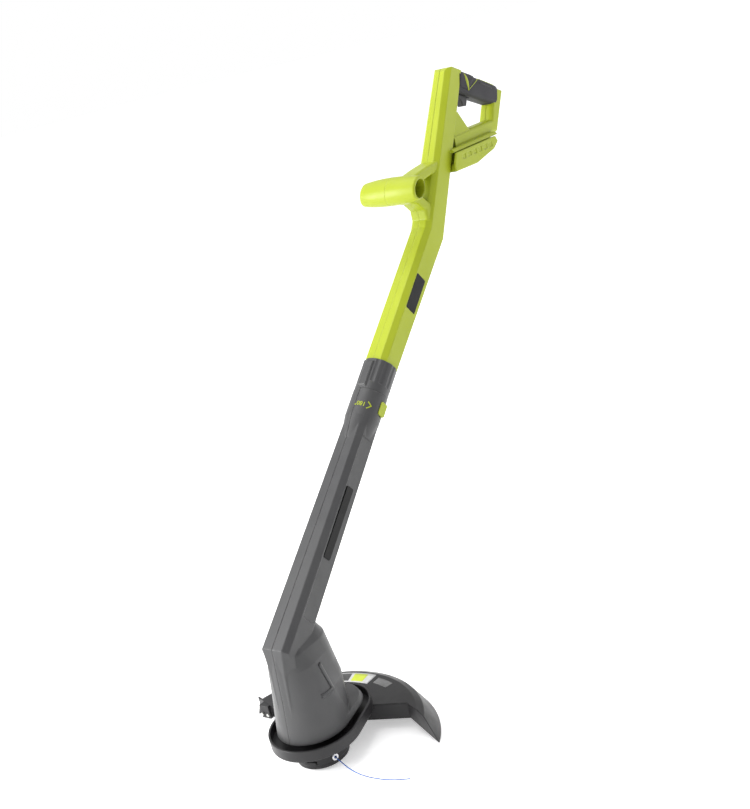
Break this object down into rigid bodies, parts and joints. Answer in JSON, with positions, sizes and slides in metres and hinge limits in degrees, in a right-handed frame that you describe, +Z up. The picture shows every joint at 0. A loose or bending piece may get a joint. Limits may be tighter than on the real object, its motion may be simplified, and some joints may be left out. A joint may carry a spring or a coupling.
{
  "type": "string trimmer",
  "caption": "Cordless string trimmer and edger with a swivelling lower shaft, rear loop handle, front cross handle and rear guard.",
  "frame": {"origin": "where the motor axis meets the underside of the spool knob", "axes": "+Z up the motor axis with the head level, -Y ahead of the user, +X to the user's left"},
  "size_m": [0.3388, 0.9292, 0.8826],
  "materials": {
    "lime_plastic": "satin moulded",
    "grey_plastic": "satin moulded",
    "black_plastic": "satin moulded",
    "grip_rubber": "matt moulded",
    "badge_black": "gloss",
    "lime_accent": "gloss",
    "steel": "brushed",
    "zinc_screw": "bright",
    "brass": "bright",
    "copper": "enamelled",
    "magnet": "matt",
    "carbon": "matt",
    "aluminium": "drawn",
    "line_blue": "extruded nylon",
    "cable_black": "matt"
  },
  "bodies": {
    "upper": {"upper_shell_left": "lime_plastic", "upper_shell_right": "lime_plastic", "grip_skin_left": "grip_rubber", "grip_skin_right": "grip_rubber", "upper_shell_screws": "zinc_screw", "badge_plate_upper": "badge_black", "battery_rail": "lime_plastic", "terminal_block": "black_plastic", "battery_contacts": "brass", "trigger_pin": "steel", "trigger_switch": "black_plastic", "cable_upper": "cable_black", "cable_switch": "cable_black", "swivel_collar": "grey_plastic"},
    "trigger": {"trigger": "black_plastic"},
    "lower": {"lower_shell_left": "grey_plastic", "lower_shell_right": "grey_plastic", "lower_shell_screws": "zinc_screw", "badge_plate_lower": "badge_black", "swivel_tube": "aluminium", "swivel_retainer": "steel", "cable_lower": "cable_black", "motor_can": "steel", "motor_end_cap": "black_plastic", "motor_bearings": "brass", "motor_magnets": "magnet", "motor_brushes": "carbon", "motor_plate": "black_plastic", "motor_screws": "zinc_screw", "guard": "black_plastic", "guard_screws": "zinc_screw", "cutoff_blade": "steel", "blade_screws": "zinc_screw", "swivel_button_spring": "steel"},
    "swivel_button": {"swivel_button": "lime_accent"},
    "head": {"motor_shaft": "steel", "motor_armature": "steel", "armature_winding": "copper", "commutator": "copper", "cooling_fan": "black_plastic", "spool_housing": "black_plastic", "spool_cap": "black_plastic", "line_eyelet": "aluminium", "spool_spring": "steel", "cutting_line": "line_blue"},
    "knob": {"bump_knob": "black_plastic"},
    "spool": {"spool": "black_plastic", "wound_line": "line_blue"}
  },
  "joints": [
    {"name": "trigger_pull", "type": "hinge", "parent": "upper", "child": "trigger", "pos_m": [0, 0.722, 0.847], "axis": [1, 0, 0], "range_deg": [0, 9], "stiffness_Nm_per_rad": 0.8, "springref_deg": -6.88},
    {"name": "shaft_swivel", "type": "hinge", "parent": "upper", "child": "lower", "pos_m": [0, 0.30513, 0.44728], "axis": [0, 0.7826, 0.6225], "range_deg": [0, 180]},
    {"name": "swivel_button_press", "type": "slide", "parent": "lower", "child": "swivel_button", "axis": [-1, 0, 0], "range_m": [0, 0.0025], "stiffness_N_per_m": 1500, "springref_m": -0.001, "deforming": ["swivel_button_spring"]},
    {"name": "head_spin", "type": "hinge", "parent": "lower", "child": "head", "pos_m": [0, 0, 0], "axis": [0, 0, 1], "continuous": true},
    {"name": "knob_bump", "type": "slide", "parent": "head", "child": "knob", "axis": [0, 0, 1], "range_m": [0, 0.004], "stiffness_N_per_m": 2500, "springref_m": -0.004, "deforming": ["spool_spring"]},
    {"name": "spool_feed", "type": "hinge", "parent": "knob", "child": "spool", "pos_m": [0, 0, 0], "axis": [0, 0, 1], "continuous": true}
  ]
}
